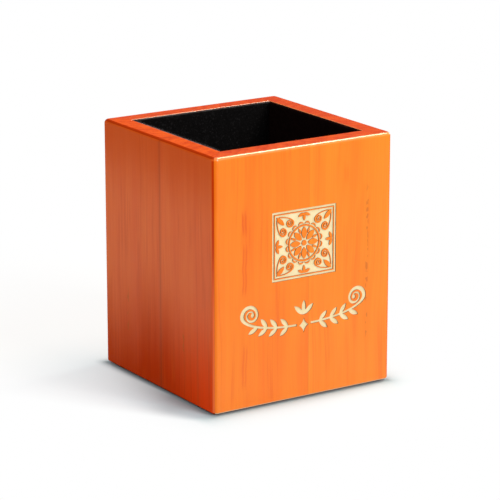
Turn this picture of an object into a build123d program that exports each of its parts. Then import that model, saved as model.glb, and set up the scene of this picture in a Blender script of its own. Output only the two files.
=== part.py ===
from build123d import *
from math import atan2, cos, degrees, radians, sin
import os

# Square pencil cup of eight upright wooden staves, lined with felt, with a gilded ornament on its front.
# Millimetres. The origin is the middle of the footprint, on the surface that the cup stands on.
# +Z is up, and the ornament faces -Y.

# Wooden walls: square in plan, mitred at the corners, rounded outside after glueing
CUP_WIDTH = 82.5
CUP_HEIGHT = 101.6
WALL_THICKNESS = 8.5
CORNER_ROUND = 2.2
RIM_ROUND = 1.6
FOOT_ROUND = 0.8
RIM_EASE = 0.4

# Glue seam of each wall, from the wall's middle, positive to the right as seen from outside
FRONT_SEAM = 2.2
RIGHT_SEAM = -1.6
BACK_SEAM = 1.2
LEFT_SEAM = 2.3

# Bottom board, glued up into a rebate round the foot of the walls
BOARD_THICKNESS = 5.0
REBATE_WIDTH = 4.0
BOARD_CLEARANCE = 0.1

# Felt: under the foot, on the floor and on the walls
BASE_FELT_THICKNESS = 0.8
BASE_FELT_INSET = 3.0
FLOOR_FELT_THICKNESS = 1.4
LINING_THICKNESS = 1.2
LINING_BELOW_RIM = 0.4
FELT_CLEARANCE = 0.1

# Engraving in the front and the gold that lies in it
ENGRAVING_DEPTH = 0.7
GOLD_THICKNESS = 0.35
CUT_OVERSHOOT = 1.0

# Square ornament: a gold ground, with the wood left standing as a framed rosette with scrolled corners
EMBLEM_WIDTH = 29.6
EMBLEM_HEIGHT = 27.5
EMBLEM_CENTRE_HEIGHT = 63.0
FRAME_BAND = 0.9
FRAME_LINE = 0.4
HUB_RADIUS = 1.1
PETAL_COUNT = 8
PETAL_START = 1.7
PETAL_LENGTH = 4.7
PETAL_WIDTH = 2.4
SEPAL_START = 4.0
SEPAL_LENGTH = 2.5
SEPAL_WIDTH = 0.9
RING_RADIUS = 7.0
RING_WIDTH = 0.65
LOBE_COUNT = 16
LOBE_START = 7.5
LOBE_SPAN = 2.4
LOBE_RISE = 1.1
LOBE_WEIGHT = 0.6
CORNER_INSET = 0.8
CORNER_LEAF_LENGTH = 4.9
CORNER_LEAF_WIDTH = 1.8
TENDRIL_START = 1.1
TENDRIL_REACH = 6.9
TENDRIL_SAG = 2.9
TENDRIL_RADIUS = 1.75
TENDRIL_TIP = 0.3
TENDRIL_WEIGHT = 0.8
SIDE_LEAF_LENGTH = 3.0
SIDE_LEAF_WIDTH = 1.2
SIDE_LEAF_INSET = 0.6
SIDE_LEAF_ANGLE = 68.0

# Long ornament: a lozenge under three leaves, between two mirrored leafy stems that end in scrolls
FLOURISH_FOOT_HEIGHT = 30.0
LOZENGE_WIDTH = 4.4
LOZENGE_HEIGHT = 6.6
LOZENGE_WAIST = 0.7
CREST_LEAF_LENGTH = 6.0
CREST_LEAF_WIDTH = 2.0
CREST_LEAF_ANGLE = 48.0
CREST_LEAF_RISE = 4.2
STEM_START = 3.2
STEM_REACH = 26.2
STEM_SAG = 7.6
STEM_RADIUS = 4.2
STEM_TIP = 0.9
STEM_WEIGHT = 1.8
UPPER_LEAF_PLACES = (0.10, 0.23, 0.36)
LOWER_LEAF_PLACES = (0.10, 0.23, 0.36, 0.50)
STEM_LEAF_LENGTH = 5.2
STEM_LEAF_WIDTH = 1.9
STEM_LEAF_ANGLE = 42.0

# Each turn of a scroll against the one before it
SCROLL_SHRINK = 0.68

half_width = CUP_WIDTH / 2
inside_half = half_width - WALL_THICKNESS
foot_level = BASE_FELT_THICKNESS
floor_level = foot_level + BOARD_THICKNESS
upright = (Align.CENTER, Align.CENTER, Align.MIN)


def leaf(length, width):
    """Pointed leaf along +X from the origin: two equal arcs from end to end."""
    upper = ThreePointArc((0, 0), (length / 2, width / 2), (length, 0))
    lower = ThreePointArc((length, 0), (length / 2, -width / 2), (0, 0))
    return make_face([upper, lower])


def crescent(span, rise, weight):
    """Crescent along +X from the origin: arcs that rise by two heights, a weight apart."""
    outer = ThreePointArc((0, 0), (span / 2, rise), (span, 0))
    inner = ThreePointArc((span, 0), (span / 2, rise - weight), (0, 0))
    return make_face([outer, inner])


def half_turn(start, end, side):
    """Half circle between two points of the X axis, above it (1) or below it (-1)."""
    return ThreePointArc((start, 0), ((start + end) / 2, side * abs(end - start) / 2), (end, 0))


def scroll(radius, weight):
    """Tapered spiral of three half turns that starts upwards at the origin and ends in a ball."""
    radii = [radius * SCROLL_SHRINK ** turn for turn in range(3)]
    weights = [weight * SCROLL_SHRINK ** turn for turn in range(4)]
    outer = [0, 2 * radii[0], 2 * (radii[0] - radii[1]), 2 * (radii[0] - radii[1] + radii[2])]
    inner = [outer[turn] + (-1) ** turn * weights[turn] for turn in range(4)]
    edges = [half_turn(outer[turn], outer[turn + 1], (-1) ** turn) for turn in range(3)]
    edges += [Line((outer[3], 0), (inner[3], 0))]
    edges += [half_turn(inner[turn + 1], inner[turn], (-1) ** turn) for turn in (2, 1, 0)]
    edges += [Line((inner[0], 0), (0, 0))]
    ball = Pos(outer[3] - weights[2], 0) * Circle(weights[2])
    return make_face(edges) + ball


def tendril(reach, sag, radius, tip, weight):
    """Stem that leaves the origin along +X, bends up by a quarter ellipse and curls into a scroll."""
    outer = EllipticalCenterArc((0, sag), reach, sag, start_angle=270, arc_size=90)
    inner = EllipticalCenterArc((0, sag), reach - weight, sag - tip, start_angle=270, arc_size=90)
    ends = [Line((0, 0), (0, tip)), Line((reach, sag), (reach - weight, sag))]
    return make_face([outer, inner] + ends) + Pos(reach, sag) * mirror(scroll(radius, weight), about=Plane.YZ)


def around(shape, count, first_angle=0.0):
    """The shape repeated round the origin."""
    return [Rot(Z=first_angle + turn * 360 / count) * shape for turn in range(count)]


def four_ways(shape):
    """The shape and its mirror images across both axes."""
    pair = [shape, mirror(shape, about=Plane.YZ)]
    return pair + [mirror(one, about=Plane.XZ) for one in pair]


def emblem_face():
    """Gold ground of the square ornament, in its own plane: the panel less the wood left standing."""
    line_width = EMBLEM_WIDTH - 2 * FRAME_BAND
    line_height = EMBLEM_HEIGHT - 2 * FRAME_BAND
    ground_x = line_width / 2 - FRAME_LINE
    ground_y = line_height / 2 - FRAME_LINE
    frame_line = Rectangle(line_width, line_height) - Rectangle(2 * ground_x, 2 * ground_y)

    standing = [frame_line, Circle(HUB_RADIUS)]
    standing += [Circle(RING_RADIUS + RING_WIDTH / 2) - Circle(RING_RADIUS - RING_WIDTH / 2)]
    standing += around(Pos(PETAL_START, 0) * leaf(PETAL_LENGTH, PETAL_WIDTH), PETAL_COUNT)
    standing += around(Pos(SEPAL_START, 0) * leaf(SEPAL_LENGTH, SEPAL_WIDTH), PETAL_COUNT, 180 / PETAL_COUNT)
    lobe = Pos(-LOBE_SPAN / 2, LOBE_START) * crescent(LOBE_SPAN, LOBE_RISE, LOBE_WEIGHT)
    standing += around(lobe, LOBE_COUNT, 180 / LOBE_COUNT)

    corner = Pos(-ground_x + CORNER_INSET, -ground_y + CORNER_INSET)
    standing += four_ways(corner * Rot(Z=45) * leaf(CORNER_LEAF_LENGTH, CORNER_LEAF_WIDTH))
    vine = tendril(TENDRIL_REACH, TENDRIL_SAG, TENDRIL_RADIUS, TENDRIL_TIP, TENDRIL_WEIGHT)
    vine = Pos(TENDRIL_START, 0) * vine
    standing += four_ways(corner * vine)
    standing += four_ways(corner * Rot(Z=90) * mirror(vine, about=Plane.XZ))

    side_leaf = leaf(SIDE_LEAF_LENGTH, SIDE_LEAF_WIDTH)
    trefoil = [Rot(Z=turn) * side_leaf for turn in (-SIDE_LEAF_ANGLE, 0, SIDE_LEAF_ANGLE)]
    for angle, reach in ((0, ground_x), (90, ground_y), (180, ground_x), (270, ground_y)):
        side = Rot(Z=angle) * Pos(SIDE_LEAF_INSET - reach, 0)
        standing += [side * one for one in trefoil]
    return Rectangle(EMBLEM_WIDTH, EMBLEM_HEIGHT) - standing


def lozenge():
    """Upright lozenge with four hollow sides."""
    x = LOZENGE_WIDTH / 2
    y = LOZENGE_HEIGHT / 2
    corners = [(x, 0), (0, y), (-x, 0), (0, -y), (x, 0)]
    sides = []
    for start, end in zip(corners, corners[1:]):
        middle = ((start[0] + end[0]) / 2, (start[1] + end[1]) / 2)
        hollow = (middle[0] * (1 - LOZENGE_WAIST / x), middle[1] * (1 - LOZENGE_WAIST / y))
        sides.append(ThreePointArc(start, hollow, end))
    return make_face(sides)


def flourish_face():
    """Gold strokes of the long ornament, in its own plane, with the stems' tips on the X axis."""
    half = tendril(STEM_REACH, STEM_SAG, STEM_RADIUS, STEM_TIP, STEM_WEIGHT)
    blade = leaf(STEM_LEAF_LENGTH, STEM_LEAF_WIDTH)
    reach = STEM_REACH - STEM_WEIGHT / 2
    rise = STEM_SAG - STEM_TIP / 2
    for places, lean in ((UPPER_LEAF_PLACES, STEM_LEAF_ANGLE), (LOWER_LEAF_PLACES, -STEM_LEAF_ANGLE)):
        for turn in [radians(90 * place) for place in places]:
            root = Pos(reach * sin(turn), STEM_SAG - rise * cos(turn))
            heading = degrees(atan2(rise * sin(turn), reach * cos(turn)))
            half += root * Rot(Z=heading + lean) * blade
    half = Pos(STEM_START, 0) * half
    crest_leaf = leaf(CREST_LEAF_LENGTH, CREST_LEAF_WIDTH)
    leans = (-CREST_LEAF_ANGLE, 0, CREST_LEAF_ANGLE)
    crest = [Pos(0, CREST_LEAF_RISE) * Rot(Z=90 + lean) * crest_leaf for lean in leans]
    return half + mirror(half, about=Plane.YZ) + lozenge() + crest


def engraved(face, height, depth):
    """The face stood up on the floor of the engraving, its origin at a height, grown outwards by a depth."""
    floor = Plane((0, ENGRAVING_DEPTH - half_width, height), x_dir=(1, 0, 0), z_dir=(0, -1, 0))
    return extrude(floor * face, depth)


def carcass():
    """All four walls in one: a rounded block with the cup's hollow and the rebate for the board."""
    wood_height = CUP_HEIGHT - foot_level
    block = Box(CUP_WIDTH, CUP_WIDTH, wood_height, align=upright)
    block = fillet(block.edges().filter_by(Axis.Z), CORNER_ROUND)
    block = fillet(block.edges().group_by(Axis.Z)[-1], RIM_ROUND)
    block = fillet(block.edges().group_by(Axis.Z)[0], FOOT_ROUND)
    hollow = Box(2 * inside_half, 2 * inside_half, wood_height, align=upright)
    rebate_side = 2 * (inside_half + REBATE_WIDTH)
    rebate = Box(rebate_side, rebate_side, BOARD_THICKNESS, align=upright)
    return Pos(0, 0, foot_level) * (block - hollow - rebate)


def front_stave(walls, seam, side):
    """Stave of the front wall from its seam to the mitre on the left (-1) or right (1)."""
    outside = CUP_WIDTH
    inside = inside_half / 2
    mitre = [(side * outside, -outside), (side * inside, -inside)]
    plan = make_face(Polyline((seam, -outside), *mitre, (seam, -inside), close=True))
    stave = walls & extrude(plan, CUP_HEIGHT, dir=(0, 0, 1))
    rim_edges = stave.edges().filter_by(Axis.X).filter_by_position(Axis.Z, CUP_HEIGHT, CUP_HEIGHT)
    return fillet(rim_edges.sort_by(Axis.Y)[-1], RIM_EASE)


def staves(emblem, flourish):
    """The eight staves by name, the front two with the engraving cut into them."""
    walls = carcass()
    emblem_cut = engraved(emblem, EMBLEM_CENTRE_HEIGHT, ENGRAVING_DEPTH + CUT_OVERSHOOT)
    flourish_cut = engraved(flourish, FLOURISH_FOOT_HEIGHT, ENGRAVING_DEPTH + CUT_OVERSHOOT)
    layout = [
        ("front", FRONT_SEAM, "left", "right"),
        ("right", RIGHT_SEAM, "front", "back"),
        ("back", BACK_SEAM, "right", "left"),
        ("left", LEFT_SEAM, "back", "front"),
    ]
    made = {}
    for quarter, (wall, seam, left_end, right_end) in enumerate(layout):
        for side, end in ((-1, left_end), (1, right_end)):
            stave = front_stave(walls, seam, side)
            if wall == "front":
                stave = stave - emblem_cut - flourish_cut
            made[f"{wall}_{end}_stave"] = Rot(Z=90 * quarter) * stave
    return made


def linings():
    """Felt on the four inside faces: front and back run right across, left and right fit between them."""
    height = CUP_HEIGHT - LINING_BELOW_RIM - floor_level
    across = 2 * inside_half
    between = across - 2 * (LINING_THICKNESS + FELT_CLEARANCE)
    place = inside_half - LINING_THICKNESS / 2
    wide = Box(across, LINING_THICKNESS, height, align=upright)
    narrow = Box(LINING_THICKNESS, between, height, align=upright)
    return {
        "front_lining": Pos(0, -place, floor_level) * wide,
        "back_lining": Pos(0, place, floor_level) * wide,
        "left_lining": Pos(-place, 0, floor_level) * narrow,
        "right_lining": Pos(place, 0, floor_level) * narrow,
    }


def square_sheet(side, thickness, level):
    """Flat square piece whose underside is at a level."""
    return Pos(0, 0, level) * Box(side, side, thickness, align=upright)


board_side = 2 * (inside_half + REBATE_WIDTH - BOARD_CLEARANCE)
base_felt_side = CUP_WIDTH - 2 * BASE_FELT_INSET
floor_felt_side = 2 * (inside_half - LINING_THICKNESS - FELT_CLEARANCE)
emblem = emblem_face()
flourish = flourish_face()

nodes = staves(emblem, flourish)
nodes["bottom_board"] = square_sheet(board_side, BOARD_THICKNESS, foot_level)
nodes["base_felt"] = square_sheet(base_felt_side, BASE_FELT_THICKNESS, 0)
nodes["floor_lining"] = square_sheet(floor_felt_side, FLOOR_FELT_THICKNESS, floor_level)
nodes.update(linings())
nodes["emblem_gilding"] = engraved(emblem, EMBLEM_CENTRE_HEIGHT, GOLD_THICKNESS)
nodes["flourish_gilding"] = engraved(flourish, FLOURISH_FOOT_HEIGHT, GOLD_THICKNESS)

os.makedirs("parts", exist_ok=True)
for name, shape in nodes.items():
    export_step(shape, f"parts/{name}.step")
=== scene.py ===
import math

import bpy
import numpy as np
from mathutils import Matrix, Vector


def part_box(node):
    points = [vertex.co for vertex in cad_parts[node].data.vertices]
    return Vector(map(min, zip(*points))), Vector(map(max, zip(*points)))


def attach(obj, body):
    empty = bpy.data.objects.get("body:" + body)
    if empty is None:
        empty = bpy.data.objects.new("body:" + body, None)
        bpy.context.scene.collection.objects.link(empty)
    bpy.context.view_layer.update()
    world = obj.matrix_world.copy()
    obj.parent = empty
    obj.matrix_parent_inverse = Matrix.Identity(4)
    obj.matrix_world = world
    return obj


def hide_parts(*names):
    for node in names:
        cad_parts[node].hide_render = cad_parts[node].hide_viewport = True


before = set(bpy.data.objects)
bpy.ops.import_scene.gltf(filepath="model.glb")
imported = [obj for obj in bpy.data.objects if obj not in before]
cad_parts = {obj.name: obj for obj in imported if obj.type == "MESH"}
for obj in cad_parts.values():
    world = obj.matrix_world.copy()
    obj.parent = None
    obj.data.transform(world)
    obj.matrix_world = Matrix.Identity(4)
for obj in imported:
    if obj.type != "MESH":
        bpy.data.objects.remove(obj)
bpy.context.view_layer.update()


# The walls: eight upright staves of pale hardwood, glued edge to edge in pairs and mitred at the
# corners. They are dyed amber and sprayed with a satin lacquer; the open end grain of the rim and
# the sanded arrises take more of the dye than the long grain of the faces. Painted light lies on top:
# painted shade at the foot and top of the left walls and inside above the felt, painted shade in part
# of the darker arrises, and painted highlights on some pale arrises.
MM = 0.001


def cad_corners(node):
    """The lowest and the highest corner of a CAD node, in mm."""
    return [np.round(np.array(corner) / MM, 3).tolist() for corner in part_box(node)]


HALF_WIDTH, RIM = cad_corners("back_left_stave")[1][1:]
INSIDE = cad_corners("back_lining")[1][1]


class Tone:
    """A shader socket as a value: sums on it add Math nodes, and node() adds any other kind of node."""

    def __init__(self, socket):
        self.socket = socket

    def node(self, kind, settings, inputs, output=0):
        """Adds a node of that type, sets its settings, then its sockets' values or links."""
        tree = self.socket.id_data
        made = tree.nodes.new(kind)
        for setting, value in settings.items():
            setattr(made, setting, value)
        for key, value in inputs.items():
            if isinstance(value, Tone):
                tree.links.new(value.socket, made.inputs[key])
            else:
                made.inputs[key].default_value = value
        return Tone(made.outputs[output])

    def math(self, operation, first, second=0.0):
        return self.node("ShaderNodeMath", {"operation": operation}, {0: first, 1: second})

    def __add__(self, other):
        return self.math("ADD", self, other)

    def __sub__(self, other):
        return self.math("SUBTRACT", self, other)

    def __rsub__(self, other):
        return self.math("SUBTRACT", other, self)

    def __mul__(self, other):
        return self.math("MULTIPLY", self, other)

    def __truediv__(self, other):
        return self.math("DIVIDE", self, other)

    def __pow__(self, other):
        return self.math("POWER", self, other)

    def __abs__(self):
        return self.math("ABSOLUTE", self)

    __radd__ = __add__
    __rmul__ = __mul__

    def least(self, other):
        return self.math("MINIMUM", self, other)

    def most(self, other):
        return self.math("MAXIMUM", self, other)

    def fraction(self):
        return self.math("FRACT", self)

    def decay(self, length):
        """1 at 0, falling to about a third with each length."""
        return self.math("EXPONENT", self * (-1.0 / length))

    def rise(self, low, high):
        """0 below low, 1 above high and a smooth slope between them; the other way round if low > high."""
        settings = {"interpolation_type": "SMOOTHSTEP"}
        if low > high:
            return self.node("ShaderNodeMapRange", settings, {0: self, 1: high, 2: low, 3: 1.0, 4: 0.0})
        return self.node("ShaderNodeMapRange", settings, {0: self, 1: low, 2: high})

    def between(self, low, high, ease):
        """1 from low to high and 0 beyond them, with slopes of that length inside both ends."""
        return self.rise(low, low + ease) * self.rise(high, high - ease)

    def parts(self):
        """The X, Y and Z of a vector."""
        split = self.node("ShaderNodeSeparateXYZ", {}, {0: self}).socket.node
        return [Tone(socket) for socket in split.outputs]

    def stretched(self, scale, offset=(0.0, 0.0, 0.0)):
        """A vector times a scale plus an offset, each along its own axis."""
        settings = {"operation": "MULTIPLY_ADD"}
        return self.node("ShaderNodeVectorMath", settings, {0: self, 1: scale, 2: offset})

    def noise(self, scale, offset=(0.0, 0.0, 0.0), detail=2.0, roughness=0.5):
        """Cloudy noise from 0 to 1 at this point, with so many bumps to the unit along each axis."""
        inputs = {"Vector": self.stretched(scale, offset), "Scale": 1.0, "Detail": detail}
        return self.node("ShaderNodeTexNoise", {}, inputs | {"Roughness": roughness})

    def over(self, under, cover):
        """The colour under where this mask is 0 and the colour cover where it is 1."""
        return self.node("ShaderNodeMix", {"data_type": "RGBA"}, {0: self, 6: under, 7: cover}, 2)

    def bump(self, strength, distance):
        """The surface normal, tilted by this height."""
        inputs = {"Strength": strength, "Distance": distance, "Height": self}
        return self.node("ShaderNodeBump", {}, inputs)


def new_finish(name, constants):
    """A material of one shader with those constant sockets; returns it, its shader and its points in mm."""
    material = bpy.data.materials.new(name)
    material.use_nodes = True
    shader = material.node_tree.nodes["Principled BSDF"]
    for socket, value in constants.items():
        shader.inputs[socket].default_value = value
    place = material.node_tree.nodes.new("ShaderNodeTexCoord").outputs["Object"]
    return material, shader, Tone(place).stretched((1 / MM, 1 / MM, 1 / MM))


def lay(shader, colour, roughness, normal):
    """Links a finish's colour, roughness and normal to its shader."""
    links = shader.id_data.links
    for socket, value in (("Base Color", colour), ("Roughness", roughness), ("Normal", normal)):
        links.new(value.socket, shader.inputs[socket])


# Bumps to the mm across, deep and up the stave.
BROAD_BANDS = (0.075, 0.075, 0.003)
NARROW_BANDS = (0.33, 0.33, 0.005)
BLUSHES = (0.10, 0.10, 0.014)
FIBRES = (1.7, 1.7, 0.022)
PORES = (5.0, 5.0, 0.25)
LINES = (0.4, 0.4, 0.007)
DASHES = (0.6, 0.6, 0.42)
BLOTCHES = (0.16, 0.16, 0.05)
YEAR_WIDTH = 3.7


class Grain:
    """How the wood of one stave runs, with most of its figure as masks from 0 to 1.

    The grain wanders sideways by a few millimetres as it climbs. The yearly rings are circles about an
    upright line, the pith, which lies that far across and deep. Bands and fibres are noise drawn out
    along the height, so they are lines on the faces and dots on the rim.
    """

    def __init__(self, place, across_is_x, pith, seed):
        self.place = place
        self.x, self.y, self.z = place.parts()
        self.across, depth = (self.x, self.y) if across_is_x else (self.y, self.x)
        self.start = (seed * 17.0, seed * 31.0, seed * 7.0)
        wander = (place.noise((0.012, 0.012, 0.011), self.start) - 0.5) * 7.0
        self.ripple = (place.noise((0.1, 0.1, 0.03), self.start) - 0.5) * 1.2
        side = self.across + wander + self.ripple
        self.drawn = place.node("ShaderNodeCombineXYZ", {}, {0: side, 1: depth, 2: self.z})

        ring = ((side - pith[0]) ** 2.0 + (depth - pith[1]) ** 2.0) ** 0.5
        year = (ring / YEAR_WIDTH + place.noise((0.25, 0.25, 0.002), self.start) * 1.6).fraction()
        self.late = year.rise(0.2, 0.9) * year.rise(1.0, 0.9)
        self.broad = self.drawn.noise(BROAD_BANDS, self.start, 2.0).rise(0.32, 0.68)
        self.bands = self.drawn.noise(NARROW_BANDS, self.start, 3.0, 0.55).rise(0.32, 0.68)
        self.fibres = self.drawn.noise(FIBRES, self.start, 4.0, 0.6)
        self.pores = self.drawn.noise(PORES, self.start, 1.0).rise(0.66, 0.78)
        blush = self.drawn.noise(BLUSHES, self.start[::-1], 3.0).rise(0.42, 0.7)
        tone = self.broad * 0.32 + self.bands * 0.26 + blush * 0.34
        tone = tone + self.fibres.rise(0.32, 0.68) * 0.3 - 0.06
        self.tone = tone.least(1.0).most(0.0)


RIM_SHADE = (0.70, 0.082, 0.006, 1.0)
FOOT_SHADE = (0.60, 0.040, 0.002, 1.0)
LIFTED_FOOT_SHADE = (0.97, 0.063, 0.003, 1.0)
FIBRES_IN_SHADE = (0.34, 0.018, 0.001, 1.0)
# Heights in mm over which the painted shade at the top and at the foot grows from nothing to all of it.
RIM_SHADE_HEIGHTS = (72.0, 104.0)
FOOT_SHADE_HEIGHTS = (64.0, 8.0)


def painted_end_shade(colour, grain, end_shade_weight, shade_lift):
    """Adds painted shade, deep red, towards the top and the foot of a stave; returns the colour and its
    weight.

    The shade climbs unevenly with the bands of the grain and is painted a lighter red towards the front
    corner.
    """
    rim_shade = (grain.z + grain.bands * 5.0).rise(*RIM_SHADE_HEIGHTS) * 0.7 * end_shade_weight
    colour = rim_shade.over(colour, RIM_SHADE)
    lower = grain.across.rise(0.0, 38.0) * shade_lift * 9.0
    foot_shade = (grain.z + grain.broad * 9.0 + grain.bands * 5.0 + lower).rise(*FOOT_SHADE_HEIGHTS) * end_shade_weight
    lifted = grain.across.rise(0.0, -44.0) * shade_lift
    colour = foot_shade.over(colour, lifted.over(FOOT_SHADE, LIFTED_FOOT_SHADE))
    dark_fibres = grain.fibres.rise(0.4, 0.66) * (grain.bands + 0.2) * foot_shade * 0.3
    return dark_fibres.over(colour, FIBRES_IN_SHADE), rim_shade + foot_shade


PORE = (0.66, 0.11, 0.008, 1.0)
FLECK = (0.58, 0.115, 0.010, 1.0)


def figured(colour, grain, deep, streak, flecks):
    """Adds pores, thin broken lines of darker grain, a mineral streak and a chain of short flecks.

    A line is where a drawn-out noise passes its middle level. The streak is two close strokes that kink
    together, over some heights; the flecks are dashes of noise beside one upright line.
    """
    colour = (grain.pores * 0.22).over(colour, PORE)
    first, second, third = grain.start
    contour = grain.drawn.noise(LINES, (third, first, second), 1.0)
    lasting = grain.place.noise((0.12, 0.12, 0.025), (second, first, third), 2.0).rise(0.46, 0.66)
    lines = abs(contour - 0.5).rise(0.085, 0.0) * lasting
    colour = (lines * 0.45).over(colour, deep)

    kink = (grain.place.noise((0.0, 0.0, 0.055), grain.start, 3.0) - 0.5) * 4.0
    strokes = abs(abs(grain.across + kink - streak["at"]) - 0.6).rise(0.8, 0.0)
    for low, high, weight in streak["heights"]:
        colour = (strokes * grain.z.between(low, high, 5.0) * weight).over(colour, deep)
    if flecks is None:
        return colour
    dashes = grain.place.noise(DASHES, grain.start, 1.0).rise(0.48, 0.62)
    chain = dashes * abs(grain.across + grain.ripple - flecks["at"]).rise(1.0, 0.2)
    low, high = flecks["heights"]
    return (chain * grain.z.between(low, high, 6.0) * flecks["weight"]).over(colour, FLECK)


END_GRAIN = (0.88, 0.134, 0.014, 1.0)
SOAKED_END_GRAIN = (0.60, 0.052, 0.008, 1.0)


def end_grained(colour, grain, end, soak):
    """Adds the end grain of the rim and the foot: redder, with the rings and fibres as faint dark marks."""
    blotches = grain.place.noise(BLOTCHES, grain.start, 3.0).rise(0.35, 0.7)
    marks = grain.late * 0.22 + grain.fibres.rise(0.42, 0.72) * 0.3 + blotches * 0.35 + soak
    return end.over(colour, marks.least(1.0).over(END_GRAIN, SOAKED_END_GRAIN))


def arrises(place):
    """How level the surface is, and masks of the level and of the upright arrises, from its normal."""
    normal_x, normal_y, normal_z = place.node("ShaderNodeNewGeometry", {}, {}, "Normal").parts()
    level = abs(normal_z)
    squareness = abs(normal_x).most(abs(normal_y)).most(level)
    level_arris = level.rise(0.995, 0.95) * level.rise(0.2, 0.55)
    upright_arris = squareness.rise(0.99, 0.86) * level.rise(0.35, 0.1)
    return level, level_arris, upright_arris


ARRIS_DYE_AND_SHADE = (0.40, 0.020, 0.001, 1.0)
CORNER_DYE_AND_SHADE = (0.64, 0.040, 0.002, 1.0)
CORNER_HIGHLIGHT = (1.0, 0.19, 0.055, 1.0)
PALE_EDGE_HIGHLIGHT = (1.0, 0.66, 0.34, 1.0)


def edged(colour, grain, level, level_arris, upright_arris, edge):
    """Darkens the arrises, partly with dye and partly with painted shade, and adds painted highlights to some
    of them.
    """
    outer = abs(grain.x).most(abs(grain.y)).rise(36.0, 38.0)
    # The level arrises are darkened: partly dye in the sanded edge, partly painted shade.
    dyed_and_shaded = level.rise(0.998, 0.97) * level.rise(edge["reach"] - 0.1, edge["reach"] + 0.1)
    colour = (dyed_and_shaded * outer * edge["level_dye_and_shade"]).over(colour, ARRIS_DYE_AND_SHADE)
    # The upright arrises are darkened: partly dye, partly painted shade where the corner turns from the key.
    colour = (upright_arris * edge["corner_dye_and_shade"]).over(colour, CORNER_DYE_AND_SHADE)
    # A painted highlight on the lower part of the upright arrises.
    colour = (upright_arris * grain.z.rise(72.0, 36.0) * edge["corner_highlight"]).over(colour, CORNER_HIGHLIGHT)
    # A painted highlight along the foot arris and along the inner arris of the rim.
    edge_highlight = level_arris * (grain.z.rise(3.0, 1.8) * edge["foot_highlight"] + (1.0 - outer) * 0.3)
    return edge_highlight.over(colour, PALE_EDGE_HIGHLIGHT)


GLUE_SHADE = (0.46, 0.050, 0.010, 1.0)
GLUE_LINE = (0.22, 0.022, 0.010, 1.0)


def glued(colour, grain, seam):
    """Adds the hairline joints of the seam and the mitres, and the shade that the glue leaves by a seam.

    Returns the colour and the hairlines.
    """
    from_seam = abs(grain.across - seam["at"])
    glue_shade = from_seam.rise(2.2, 0.0) * (1.0 + grain.z.rise(34.0, 6.0)) * seam["shade"]
    colour = glue_shade.over(colour, GLUE_SHADE)
    mitre_line = abs(abs(grain.x) - abs(grain.y)).rise(0.26, 0.1) * 0.18
    hairline = (from_seam.rise(0.3, 0.08) * seam["line"]).most(mitre_line)
    return hairline.over(colour, GLUE_LINE), hairline


POCKET_WALL_DARK = (0.10, 0.026, 0.008, 1.0)
ENGRAVED_HALF_WIDTH = 34.0
ENGRAVED_HEIGHTS = (12.0, 92.0)


def darkened_pocket_walls(colour, grain):
    """Darkens the walls of the engraved ornaments, below the front face."""
    below_face = grain.y + HALF_WIDTH
    pocket = below_face.rise(0.02, 0.06) * below_face.rise(1.2, 0.9)
    pocket = pocket * abs(grain.x).rise(ENGRAVED_HALF_WIDTH, ENGRAVED_HALF_WIDTH - 2.0)
    return (pocket * grain.z.between(*ENGRAVED_HEIGHTS, 2.0)).over(colour, POCKET_WALL_DARK)


INSIDE_SHADE = (0.22, 0.018, 0.004, 1.0)
# The weight of the lacquer, the height in mm at which it has just that, and what it gains with each mm below.
LACQUER = 0.29
LACQUER_HEIGHT = 55.0
LACQUER_SAG = 0.0024


def stained_wood(name, across_is_x, pith, seed, tones, soak, ends, gloss, seam, streak, flecks, edge):
    """Dyed and lacquered wood of one stave, with painted shade and highlights, coloured in about the order in
    which it was worked.
    """
    satin = {"Specular IOR Level": 0.0, "Coat Roughness": 0.2, "Coat IOR": 1.8}
    material, shader, place = new_finish(name, satin)
    grain = Grain(place, across_is_x, pith, seed)
    level, level_arris, upright_arris = arrises(place)
    end = level.rise(0.93, 0.99)
    light, dark, deep = tones
    end_shade_weight, shade_lift = ends
    colour = grain.tone.over(light, dark)
    colour, end_shade = painted_end_shade(colour, grain, end_shade_weight, shade_lift)
    colour = figured(colour, grain, deep, streak, flecks)
    colour = end_grained(colour, grain, end, soak)
    colour = edged(colour, grain, level, level_arris, upright_arris, edge)

    # Inside, above the felt, the wood is painted dark: painted shade.
    inside_shade = abs(grain.x).most(abs(grain.y)).rise(INSIDE + 0.25, INSIDE + 0.05)
    colour = inside_shade.over(colour, INSIDE_SHADE)
    colour, hairline = glued(colour, grain, seam)
    colour = darkened_pocket_walls(colour, grain)
    roughness = 0.34 + grain.fibres * 0.14 + end * 0.1
    relief = grain.fibres * 0.5 + grain.late * 0.2 - grain.pores * 0.8 - hairline * 1.2
    lay(shader, colour, roughness, relief.bump(0.2, 0.06 * MM))

    # The lacquer sagged towards the foot, and is thin where the end shade is painted and on the end grain.
    sagged = LACQUER + (LACQUER_HEIGHT - grain.z) * LACQUER_SAG * (1.0 - end_shade_weight)
    lacquer = sagged - end_shade * 0.28 - upright_arris * 0.2 + level_arris * (gloss - sagged)
    lacquer = (lacquer * (1.0 - end * 0.56)).most(0.0)
    shader.id_data.links.new(lacquer.socket, shader.inputs["Coat Weight"])
    return material


# Each dye is the light, the dark and the deepest tone of the grain.
AMBER = ((0.97, 0.254, 0.015, 1.0), (0.94, 0.176, 0.011, 1.0), (0.84, 0.126, 0.008, 1.0))
PALE_AMBER = ((0.98, 0.292, 0.019, 1.0), (0.95, 0.204, 0.013, 1.0), (0.86, 0.138, 0.008, 1.0))
# The left walls' dye is redder and darker: partly their stain, partly painted shade of that side.
RUSSET = ((0.95, 0.188, 0.029, 1.0), (0.87, 0.130, 0.019, 1.0), (0.70, 0.082, 0.008, 1.0))

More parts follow.
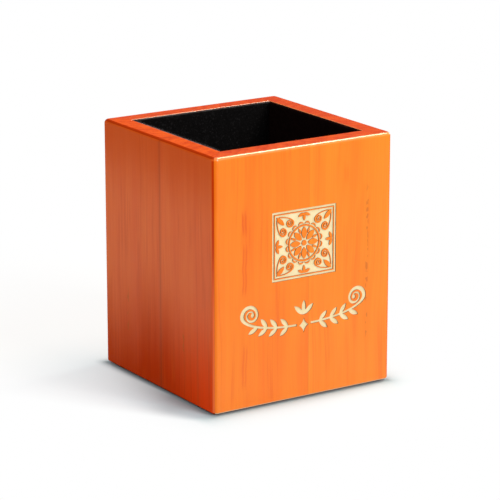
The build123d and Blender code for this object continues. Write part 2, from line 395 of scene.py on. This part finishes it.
# What the two staves of a wall share. Its ends are the weight of the painted shade at its top and foot and
# how far that is painted lighter towards the front corner, its gloss is the lacquer on its level arrises, and
# its seam has the weights of the hairline and the shade of the glue. An edge has weights of the darkening of
# its arrises, partly dye and partly painted shade, and of painted highlights, and its reach is how level an
# arris must be to be darkened.
FRONT_EDGE = dict(level_dye_and_shade=0.6, reach=0.9, corner_dye_and_shade=0.12, foot_highlight=0.9, corner_highlight=0.0)
PLAIN_EDGE = dict(level_dye_and_shade=0.8, reach=0.5, corner_dye_and_shade=0.4, foot_highlight=0.3, corner_highlight=0.0)
LEFT_EDGE = dict(level_dye_and_shade=0.8, reach=0.58, corner_dye_and_shade=0.8, foot_highlight=0.0, corner_highlight=0.0)
FRONT = dict(across_is_x=True, ends=(0.0, 0.0), gloss=0.9, seam=dict(at=2.2, line=0.1, shade=0.0))
RIGHT = dict(across_is_x=False, ends=(0.1, 0.0), gloss=0.1, seam=dict(at=-1.6, line=0.2, shade=0.15))
BACK = dict(across_is_x=True, ends=(0.1, 0.0), gloss=0.9, seam=dict(at=-1.2, line=0.2, shade=0.15))
LEFT = dict(across_is_x=False, ends=(0.95, 1.0), gloss=0.0, seam=dict(at=-2.3, line=0.22, shade=0.3))

# Places are across the wall and heights above the desk, in mm; a streak's heights have their weights.
# Soak is how far the dye darkened the end grain.
STAVES = {
    "front_left_stave": FRONT | dict(
        pith=(-96.0, 14.0), seed=1.0, tones=AMBER, soak=0.4, edge=FRONT_EDGE, flecks=None,
        streak=dict(at=-27.4, heights=((68.0, 81.0, 1.0), (44.0, 68.0, 0.8), (7.0, 28.0, 0.6)))),
    "front_right_stave": FRONT | dict(
        pith=(118.0, 8.0), seed=2.0, tones=PALE_AMBER, soak=0.4, edge=FRONT_EDGE | dict(corner_dye_and_shade=0.35),
        streak=dict(at=19.5, heights=((82.0, 93.0, 0.4), (30.0, 70.0, 0.25))),
        flecks=dict(at=29.6, heights=(18.0, 84.0), weight=0.6)),
    "right_front_stave": RIGHT | dict(
        pith=(-90.0, -6.0), seed=3.0, tones=AMBER, soak=0.4, edge=PLAIN_EDGE,
        streak=dict(at=-22.0, heights=((50.0, 86.0, 0.5), (12.0, 34.0, 0.6))),
        flecks=dict(at=-30.0, heights=(40.0, 80.0), weight=0.3)),
    "right_back_stave": RIGHT | dict(
        pith=(104.0, -2.0), seed=4.0, tones=PALE_AMBER, soak=0.5, edge=PLAIN_EDGE,
        streak=dict(at=24.0, heights=((20.0, 58.0, 0.5),)),
        flecks=dict(at=14.0, heights=(60.0, 95.0), weight=0.35)),
    "back_right_stave": BACK | dict(
        pith=(100.0, -18.0), seed=5.0, tones=AMBER, soak=0.5, edge=PLAIN_EDGE,
        streak=dict(at=25.0, heights=((34.0, 70.0, 0.6), (74.0, 92.0, 0.4))),
        flecks=dict(at=12.0, heights=(10.0, 50.0), weight=0.3)),
    "back_left_stave": BACK | dict(
        pith=(-112.0, -9.0), seed=6.0, tones=AMBER, soak=0.45, edge=PLAIN_EDGE,
        streak=dict(at=-17.0, heights=((8.0, 40.0, 0.5),)),
        flecks=dict(at=-31.0, heights=(46.0, 92.0), weight=0.35)),
    "left_back_stave": LEFT | dict(
        pith=(94.0, 10.0), seed=7.0, tones=RUSSET, soak=0.25, edge=LEFT_EDGE,
        streak=dict(at=14.0, heights=((20.0, 60.0, 0.4),)),
        flecks=dict(at=22.8, heights=(15.0, 38.0), weight=0.6)),
    "left_front_stave": LEFT | dict(
        pith=(-108.0, 16.0), seed=8.0, tones=RUSSET, soak=0.25,
        edge=LEFT_EDGE | dict(corner_dye_and_shade=1.0, corner_highlight=0.9),
        streak=dict(at=-11.0, heights=((4.0, 30.0, 0.5),)),
        flecks=dict(at=-19.2, heights=(15.0, 32.0), weight=0.6)),
}
for stave, facts in STAVES.items():
    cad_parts[stave].material_slots[0].material = stained_wood(stave + "_finish", **facts)


# The bottom: a square of thin birch plywood, glued into a rebate round the foot of the walls.
# It is bare wood, and the felts above and below cover it.
PLIES = 4
board_low, board_high = cad_corners("bottom_board")
ply = (board_high[2] - board_low[2]) / PLIES
BIRCH = (0.66, 0.47, 0.28, 1.0)
BIRCH_GRAIN = (0.50, 0.32, 0.17, 1.0)
CROSS_PLY = (0.36, 0.21, 0.10, 1.0)
board_finish, board_shader, board_place = new_finish("birch_board", {"Specular IOR Level": 0.3})
board_grain = board_place.noise((0.05, 0.9, 0.9), (3.0, 1.0, 2.0), 4.0, 0.6)
cross_plies = (board_place.parts()[2] / ply).fraction().rise(0.42, 0.58)
board_colour = board_grain.rise(0.3, 0.7).over(BIRCH, BIRCH_GRAIN)
board_colour = (cross_plies * 0.35).over(board_colour, CROSS_PLY)
lay(board_shader, board_colour, 0.6 + board_grain * 0.2, board_grain.bump(0.3, 0.08 * MM))
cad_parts["bottom_board"].material_slots[0].material = board_finish


# The felt under the foot: a square of thin black felt, stuck to the board and the ends of the staves,
# with its cut edges pressed round. The cup stands on it.
def soft_edges(count, length, ease):
    """Places from 0 to length, close together within ease of either end, as cosine steps there."""
    turn = ease * (1.0 - np.cos(np.linspace(0.0, np.pi / 2.0, 5)))
    middle = np.linspace(ease, length - ease, count)[1:-1]
    return np.concatenate([turn, middle, length - turn[::-1]])


def roundness(place, length, ease):
    """0 at either end, rising as a quarter circle to 1 at ease from it."""
    reach = np.clip(np.minimum(place, length - place) / ease, 0.0, 1.0)
    return np.sqrt(1.0 - (1.0 - reach) ** 2)


def unevenness(u, v, draws, longest):
    """The sum of eight sine waves of random direction and length, about -1 to 1."""
    angle = draws.uniform(0.0, 2.0 * np.pi, 8)
    pace = 2.0 * np.pi / draws.uniform(0.2 * longest, longest, 8)
    phase = draws.uniform(0.0, 2.0 * np.pi, 8)
    waves = pace * (np.multiply.outer(u, np.cos(angle)) + np.multiply.outer(v, np.sin(angle))) + phase
    return np.sin(waves).sum(axis=-1) / 4.0


def put_together(name, points, faces, finish):
    """A smooth mesh object from points in mm and faces, with one finish, on the object's one body."""
    mesh = bpy.data.meshes.new(name)
    mesh.from_pydata((points * MM).tolist(), [], faces.tolist())
    mesh.polygons.foreach_set("use_smooth", [True] * len(mesh.polygons))
    mesh.materials.append(finish)
    piece = bpy.data.objects.new(name, mesh)
    bpy.context.scene.collection.objects.link(piece)
    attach(piece, "root")
    return piece


def grid_faces(ids):
    """The four-sided faces of a grid of point numbers."""
    return np.stack([ids[:-1, :-1], ids[1:, :-1], ids[1:, 1:], ids[:-1, 1:]], axis=-1).reshape(-1, 4)


FELT_STEP = 1.1
EDGE_SHARE = 0.12
LONGEST_SWAY = 14.0
LONGEST_RAG = 6.0
RAG_POWER = 24


def felt_sheet(name, finish, corner, along, up, outward, size, thickness, ease, seed, sway=0.0, ragged=0.0):
    """A cut felt sheet: a flat back and a face that stands off it by the thickness.

    Within ease of all four edges the face falls in a quarter circle to a small share of the thickness,
    where the back shares its points. It rises and dips by the sway. Its upper edge is ragged by that much,
    times a high power of the height, which keeps this to the edge.
    """
    draws = np.random.default_rng(seed)
    u = soft_edges(int(size[0] / FELT_STEP), size[0], ease)
    v = soft_edges(int(size[1] / FELT_STEP), size[1], ease)
    grid_u, grid_v = np.meshgrid(u, v, indexing="ij")
    edge = roundness(grid_u, size[0], ease) * roundness(grid_v, size[1], ease)
    stand = thickness * (EDGE_SHARE + (1.0 - EDGE_SHARE) * edge)
    stand = stand + sway * edge * unevenness(grid_u, grid_v, draws, LONGEST_SWAY)
    rag = ragged * (unevenness(grid_u, 0.0 * grid_v, draws, LONGEST_RAG) - 1.0)
    lift = rag * (grid_v / size[1]) ** RAG_POWER
    corner, along, up, outward = (np.array(axis, dtype=float) for axis in (corner, along, up, outward))

    def placed(height):
        flat = corner + grid_u[..., None] * along + (grid_v + lift)[..., None] * up
        return (flat + height[..., None] * outward).reshape(-1, 3)

    count = grid_u.size
    ids = np.arange(count).reshape(grid_u.shape)
    rim = np.zeros(grid_u.shape, dtype=bool)
    rim[[0, -1], :] = True
    rim[:, [0, -1]] = True
    inner = ~rim.reshape(-1)
    back_ids = np.where(rim.reshape(-1), np.arange(count), count + np.cumsum(inner) - 1)
    points = np.concatenate([placed(stand), placed(0.0 * stand)[inner]])
    front = grid_faces(ids)
    rear = grid_faces(back_ids.reshape(grid_u.shape))
    if np.dot(np.cross(along, up), outward) > 0:
        faces = np.concatenate([front, rear[:, ::-1]])
    else:
        faces = np.concatenate([front[:, ::-1], rear])
    return put_together(name, points, faces, finish)


# The three ways that the fibres of a felt lie, as turns about X, Y and Z.
FIBRE_TURNS = ((0.3, 0.5, 0.2), (1.3, -0.6, 0.9), (-0.8, 1.1, 2.2))
STRANDS = (0.5, 3.4, 3.4)


def black_felt(name, dark, lint, cut, seed, sheen, cut_height):
    """Pressed felt: three layers of fine fibres, each a ridged noise drawn out another way, with lint.

    Above the height of its cut edge it takes the cut colour, because the cut ends catch the light.
    """
    nap = {"Specular IOR Level": sheen, "Sheen Weight": sheen, "Sheen Roughness": 0.45}
    nap["Sheen Tint"] = (0.75, 0.76, 0.80, 1.0)
    material, shader, place = new_finish(name, nap)
    matted = 0.0
    for turn in FIBRE_TURNS:
        settings = {"rotation_type": "EULER_XYZ"}
        turned = place.node("ShaderNodeVectorRotate", settings, {"Vector": place, "Rotation": turn})
        strand = turned.noise(STRANDS, (seed, seed * 2.0, seed * 3.0), 2.0)
        matted = abs(strand - 0.5).rise(0.09, 0.0) * 0.4 + matted
    cloud = place.noise((0.35, 0.35, 0.35), (seed, 0.0, seed), 3.0)
    specks = place.noise((1.5, 1.5, 1.5), (0.0, seed, 0.0), 2.0).rise(0.56, 0.72)
    shade = (matted * 0.6 + cloud.rise(0.3, 0.7) * 0.4).least(1.0)
    colour = shade.over(dark, tuple(3.0 * part for part in dark[:3]) + (1.0,))
    colour = (specks * 0.5).over(colour, lint)
    cut_edge = place.parts()[2].rise(cut_height - 0.3, cut_height) * cloud.rise(0.2, 0.6)
    colour = cut_edge.over(colour, cut)
    lay(shader, colour, 0.9 + cloud * 0.08, (matted + cloud).bump(0.6, 0.25 * MM))
    return material


foot_low, foot_high = cad_corners("base_felt")
foot_side = foot_high[0] - foot_low[0]
foot_felt = black_felt(
    "foot_felt", dark=(0.006, 0.006, 0.007, 1.0), lint=(0.03, 0.03, 0.032, 1.0),
    cut=(0.012, 0.012, 0.013, 1.0), seed=4.0, sheen=0.03, cut_height=1.0)
foot = felt_sheet(
    "foot_felt_sheet", foot_felt, corner=(foot_low[0], foot_low[1], foot_high[2]), along=(1, 0, 0),
    up=(0, 1, 0), outward=(0, 0, -1), size=(foot_side, foot_side), thickness=foot_high[2], ease=0.6, seed=11)
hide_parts("base_felt")


# The linings: black felt glued to the inside of each wall and to the floor. The front and back sheets
# run the whole width, and the side sheets and the floor are cut to fit between; their edges are fuzzy.
DEEP_BLACK = (0.0012, 0.0010, 0.0010, 1.0)
GREY_LINT = (0.026, 0.024, 0.025, 1.0)
lining_felt = black_felt(
    "lining_felt", dark=DEEP_BLACK, lint=GREY_LINT, cut=(0.06, 0.052, 0.050, 1.0),
    seed=9.0, sheen=0.03, cut_height=RIM - 0.3)
# bright_felt, on the left wall, has a paler cut edge than lining_felt: a painted highlight.
bright_felt = black_felt(
    "bright_felt", dark=DEEP_BLACK, lint=GREY_LINT, cut=(0.20, 0.18, 0.18, 1.0),
    seed=6.0, sheen=0.03, cut_height=RIM - 0.4)
# shaded_felt, on the front and right walls, is a shaded copy: no sheen, and a reddish tint that is a painted
# reflection of the wood.
shaded_felt = black_felt(
    "shaded_felt", dark=(0.0032, 0.0013, 0.0012, 1.0), lint=(0.012, 0.006, 0.006, 1.0),
    cut=(0.012, 0.005, 0.005, 1.0), seed=3.0, sheen=0.0, cut_height=RIM - 0.3)
# fuzz_felt, for the loose fibres, is far paler than the felt: partly lint and dust, partly a painted
# highlight.
fuzz_felt = black_felt(
    "fuzz_felt", dark=(0.05, 0.046, 0.046, 1.0), lint=(0.20, 0.19, 0.19, 1.0),
    cut=(0.12, 0.11, 0.11, 1.0), seed=5.0, sheen=0.03, cut_height=RIM - 0.3)

# The wall sheets stand a little above their CAD solids, to just under the rim.
NAP_RISE = 0.3
floor_low, floor_high = cad_corners("floor_lining")
floor_half, floor_level = floor_high[0], floor_low[2]
back_low, back_high = cad_corners("back_lining")
lining_thickness = round(back_high[1] - back_low[1], 3)
lining_rise = round(back_high[2] - back_low[2] + NAP_RISE, 3)
LININGS = {
    "front": dict(corner=(-INSIDE, -INSIDE, floor_level), along=(1, 0, 0), outward=(0, 1, 0),
                  width=2.0 * INSIDE, seed=21, felt=shaded_felt, fringe=shaded_felt),
    "back": dict(corner=(INSIDE, INSIDE, floor_level), along=(-1, 0, 0), outward=(0, -1, 0),
                 width=2.0 * INSIDE, seed=22, felt=lining_felt, fringe=fuzz_felt),
    "left": dict(corner=(-INSIDE, floor_half, floor_level), along=(0, -1, 0), outward=(1, 0, 0),
                 width=2.0 * floor_half, seed=23, felt=bright_felt, fringe=fuzz_felt),
    "right": dict(corner=(INSIDE, -floor_half, floor_level), along=(0, 1, 0), outward=(-1, 0, 0),
                  width=2.0 * floor_half, seed=24, felt=shaded_felt, fringe=shaded_felt),
}
FIBRE_COUNT = 600
FIBRE_RADIUS = 0.035


def loose_fibres(name, finish, corner, along, outward, width, seed):
    """Short fibres that stand off the upper edge of a lining.

    Each is a three-sided spindle: a root, a ring of three points about its bent middle, and a tip.
    """
    draws = np.random.default_rng(seed)
    corner, along, outward = (np.array(axis, dtype=float) for axis in (corner, along, outward))
    up = np.array((0.0, 0.0, 1.0))
    root = corner + np.multiply.outer(draws.uniform(0.5, width - 0.5, FIBRE_COUNT), along)
    root = root + np.multiply.outer(draws.uniform(0.25, 0.95, FIBRE_COUNT), outward)
    root = root + np.multiply.outer(lining_rise - draws.uniform(0.15, 0.5, FIBRE_COUNT), up)
    lean = np.multiply.outer(draws.normal(0.0, 0.8, FIBRE_COUNT), along)
    lean = lean + np.multiply.outer(draws.uniform(-0.1, 0.9, FIBRE_COUNT), outward)
    lean = lean + np.multiply.outer(draws.uniform(0.2, 0.9, FIBRE_COUNT), up)
    lean = lean / np.linalg.norm(lean, axis=1)[:, None]
    length = draws.uniform(0.4, 1.0, FIBRE_COUNT)[:, None]
    bend = draws.normal(0.0, 0.16, (FIBRE_COUNT, 3)) * length
    middle = root + 0.55 * length * lean + bend
    tip = root + length * lean
    first = np.cross(lean, outward + 0.01)
    first = first / np.linalg.norm(first, axis=1)[:, None]
    second = np.cross(lean, first)
    turns = np.array([0.0, 2.0, 4.0]) * np.pi / 3.0
    ring = [middle + FIBRE_RADIUS * (math.cos(turn) * first + math.sin(turn) * second) for turn in turns]
    points = np.stack([root, *ring, tip], axis=1)
    spindle = np.array([(0, 2, 1), (0, 3, 2), (0, 1, 3), (4, 1, 2), (4, 2, 3), (4, 3, 1)])
    faces = np.arange(FIBRE_COUNT)[:, None, None] * points.shape[1] + spindle
    return put_together(name, points.reshape(-1, 3), faces.reshape(-1, 3), finish)


for wall, lining in LININGS.items():
    width = lining["width"]
    lie = {key: lining[key] for key in ("corner", "along", "outward")}
    sheet = felt_sheet(
        wall + "_felt_sheet", lining["felt"], **lie, up=(0, 0, 1), size=(width, lining_rise),
        thickness=lining_thickness, ease=0.55, seed=lining["seed"], sway=0.06, ragged=0.12)
    fuzz = loose_fibres(
        wall + "_felt_fuzz", lining["fringe"], **lie, width=width, seed=lining["seed"] + 50)
    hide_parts(wall + "_lining")
    width * MM

floor_side = 2.0 * floor_half
floor_sheet = felt_sheet(
    "floor_felt_sheet", lining_felt, corner=floor_low, along=(1, 0, 0), up=(0, 1, 0), outward=(0, 0, 1),
    size=(floor_side, floor_side), thickness=round(floor_high[2] - floor_level, 3), ease=0.6, seed=25,
    sway=0.08)
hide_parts("floor_lining")


# The gold fill: pale gold paint run into the shallow engraving of the front, a little below its face.
# It dries with a fine speckle and follows the close lines that the engraver's cutter leaves.
CUTTER_STEP = 0.22
GOLD = (0.91, 0.79, 0.485, 1.0)
DULL_GOLD = (0.85, 0.71, 0.40, 1.0)
GOLD_SPECK = (0.62, 0.44, 0.16, 1.0)
gold_finish, gold_shader, gold_place = new_finish(
    "gold_paint", {"Specular IOR Level": 0.4, "Metallic": 0.15})
speckle = gold_place.noise((3.0, 3.0, 3.0), (2.0, 5.0, 1.0), 3.0, 0.65)
clouds = gold_place.noise((0.25, 0.25, 0.25), (7.0, 1.0, 4.0), 3.0)
passes = abs((gold_place.parts()[2] / CUTTER_STEP).fraction() - 0.5) * 2.0
gold_colour = clouds.rise(0.3, 0.7).over(GOLD, DULL_GOLD)
gold_colour = (speckle.rise(0.52, 0.75) * 0.5).over(gold_colour, GOLD_SPECK)
gold_relief = (speckle * 0.7 + passes * 0.3).bump(0.3, 0.06 * MM)
lay(gold_shader, gold_colour, 0.42 + speckle * 0.2, gold_relief)
for ornament in ("emblem_gilding", "flourish_gilding"):
    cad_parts[ornament].material_slots[0].material = gold_finish


# The studio: a wide white floor that fades into a white surround. A warm strip overhead on the right, a
# key box in front and weaker boxes at the right, behind and on the left light the cup, whose shade falls
# to the left and back. The camera looks a little down on the near left corner.
FLOOR_REACH = 6.0
floor_mesh = bpy.data.meshes.new("studio_floor")
floor_corners = [(x * FLOOR_REACH, y * FLOOR_REACH, 0.0) for x, y in ((-1, -1), (1, -1), (1, 1), (-1, 1))]
floor_mesh.from_pydata(floor_corners, [], [(0, 1, 2, 3)])
floor = bpy.data.objects.new("studio_floor", floor_mesh)
bpy.context.scene.collection.objects.link(floor)


def ray_kinds(tree):
    """1 on rays straight from the camera, and 1 on those that come by way of a gloss or a glass."""
    ray = tree.nodes.new("ShaderNodeLightPath").outputs
    return Tone(ray["Is Camera Ray"]), Tone(ray["Is Glossy Ray"]).most(Tone(ray["Is Transmission Ray"]))


# The floor's colour. It is greyer to the light that it throws on the cup, and bluer near the cup, painted to
# offset the glow of the wood. A contact shadow round the foot and a deeper shadow in the shade by the near
# corner are painted on it.
FLOOR_WHITE = (0.95, 0.95, 0.95, 1.0)
FLOOR_BY_CUP = (0.70, 0.93, 1.0, 1.0)
FLOOR_BOUNCE = (0.40, 0.40, 0.40, 1.0)
CONTACT_SHADOW = (0.14, 0.115, 0.11, 1.0)
BLACK = (0.0, 0.0, 0.0, 1.0)
floor_paint, floor_shader, floor_place = new_finish(
    "floor_paint", {"Roughness": 0.9, "Specular IOR Level": 0.0})
floor_tree = floor_paint.node_tree
straight, mirrored = ray_kinds(floor_tree)
floor_x, floor_y = floor_place.parts()[:2]
beside_x = (abs(floor_x) - HALF_WIDTH).most(0.0)
beside_y = (abs(floor_y) - HALF_WIDTH).most(0.0)
from_cup = (beside_x ** 2.0 + beside_y ** 2.0) ** 0.5
left_of_cup = (floor_x + HALF_WIDTH) * -1.0
right_of_cup = (floor_x - HALF_WIDTH).most(0.0)
back_of_face = floor_y + HALF_WIDTH
front_of_face = (back_of_face * -1.0).most(0.0)
near_corner_shadow = ((left_of_cup - 11.0) ** 2.0 + (back_of_face - 16.0) ** 2.0).decay(9.0 ** 2)
seen_colour = from_cup.decay(30.0).over(FLOOR_WHITE, FLOOR_BY_CUP)
floor_colour = straight.most(mirrored).over(FLOOR_BOUNCE, seen_colour)
floor_colour = (straight * from_cup.decay(5.0) * 0.56).over(floor_colour, CONTACT_SHADOW)
floor_colour = (straight * near_corner_shadow * 0.22).over(floor_colour, BLACK)
floor_tree.links.new(floor_colour.socket, floor_shader.inputs["Base Color"])

# Out of the shade the floor glows white to the camera. The shade broadens towards the back and fades there,
# in front of the face and to the right, and it keeps a narrow band all round the foot.
shade_width = 8.0 + 0.47 * back_of_face.most(0.0)
shade = (left_of_cup / shade_width).rise(1.5, 0.5)
shade = shade * ((back_of_face - 28.0).most(0.0).decay(45.0) * 0.8 + 0.2)
shade = shade * front_of_face.decay(9.0) * right_of_cup.decay(6.0)
shade = shade.most(from_cup.decay(6.0)) * from_cup.rise(200.0, 60.0)
glow = floor_place.node("ShaderNodeEmission", {}, {"Color": (1.0, 1.0, 1.0, 1.0), "Strength": 1.0})
glow_share = straight * (1.0 - shade) + mirrored * from_cup.rise(400.0, 900.0)
shaders = {0: glow_share, 1: Tone(floor_shader.outputs[0]), 2: glow}
floor_mix = floor_place.node("ShaderNodeMixShader", {}, shaders)
floor_tree.links.new(floor_mix.socket, floor_tree.nodes["Material Output"].inputs["Surface"])
floor_mesh.materials.append(floor_paint)

# The surround is white to the camera and in a gloss, and a weak light from all sides otherwise.
AMBIENT = 0.3
surround = bpy.data.worlds.new("studio_surround")
surround.use_nodes = True
surround_tree = surround.node_tree
straight, mirrored = ray_kinds(surround_tree)
surround_level = straight.most(mirrored) * (1.0 - AMBIENT) + AMBIENT
surround_tree.links.new(surround_level.socket, surround_tree.nodes["Background"].inputs["Strength"])
surround_tree.nodes["Background"].inputs["Color"].default_value = (1.0, 1.0, 1.0, 1.0)
bpy.context.scene.world = surround

LAMP_AIM = (0.0, 0.0, 0.05)
UPRIGHT = (0.0, 0.0, 1.0)


def soft_box(name, direction, distance, size, level, along=UPRIGHT, colour=(1.0, 1.0, 1.0)):
    """A lamp of that width and length that looks at the cup and lights a surface facing it to that level."""
    lamp_data = bpy.data.lights.new(name, "AREA")
    lamp_data.shape = "RECTANGLE"
    lamp_data.size, lamp_data.size_y = size
    lamp_data.energy = level * math.pi ** 2 * distance ** 2
    lamp_data.color = colour
    lamp = bpy.data.objects.new(name, lamp_data)
    toward = Vector(direction).normalized()
    across = Vector(along).cross(toward).normalized()
    turn = Matrix((across, toward.cross(across), toward)).transposed()
    lamp.location = Vector(LAMP_AIM) + distance * toward
    lamp.rotation_euler = turn.to_euler()
    bpy.context.scene.collection.objects.link(lamp)


soft_box("strip_box", direction=(0.531, -0.057, 0.846), distance=1.3, size=(0.17, 0.55), level=0.40,
         along=(0.0, 1.0, 0.03), colour=(1.0, 0.88, 0.70))
soft_box("key_box", direction=(0.24, -0.87, 0.42), distance=1.4, size=(0.5, 0.6), level=0.69)
soft_box("side_box", direction=(0.93, 0.15, 0.33), distance=1.3, size=(0.5, 0.5), level=0.3)
soft_box("back_box", direction=(0.20, 0.96, 0.16), distance=1.3, size=(0.4, 0.4), level=0.3)
soft_box("fill_box", direction=(-0.74, -0.15, 0.66), distance=0.65, size=(0.4, 0.4), level=0.32)

CAMERA_AZIMUTH = math.radians(-33.0864)
CAMERA_HEIGHT_ANGLE = math.radians(15.402)
CAMERA_DISTANCE = 1.0254
CAMERA_AIM = (0.0012765, -0.0010310, 0.0506458)
camera_data = bpy.data.cameras.new("camera")
camera_data.sensor_width = 36.0
camera_data.lens = 185.3142
camera_data.clip_end = 50.0
camera = bpy.data.objects.new("camera", camera_data)
level_back = math.cos(CAMERA_HEIGHT_ANGLE)
camera_back = Vector((math.sin(CAMERA_AZIMUTH) * level_back, -math.cos(CAMERA_AZIMUTH) * level_back,
                      math.sin(CAMERA_HEIGHT_ANGLE)))
camera.location = Vector(CAMERA_AIM) + CAMERA_DISTANCE * camera_back
camera.rotation_euler = camera_back.to_track_quat("Z", "Y").to_euler()
bpy.context.scene.collection.objects.link(camera)
bpy.context.scene.camera = camera
bpy.context.scene.view_settings.view_transform = "Standard"
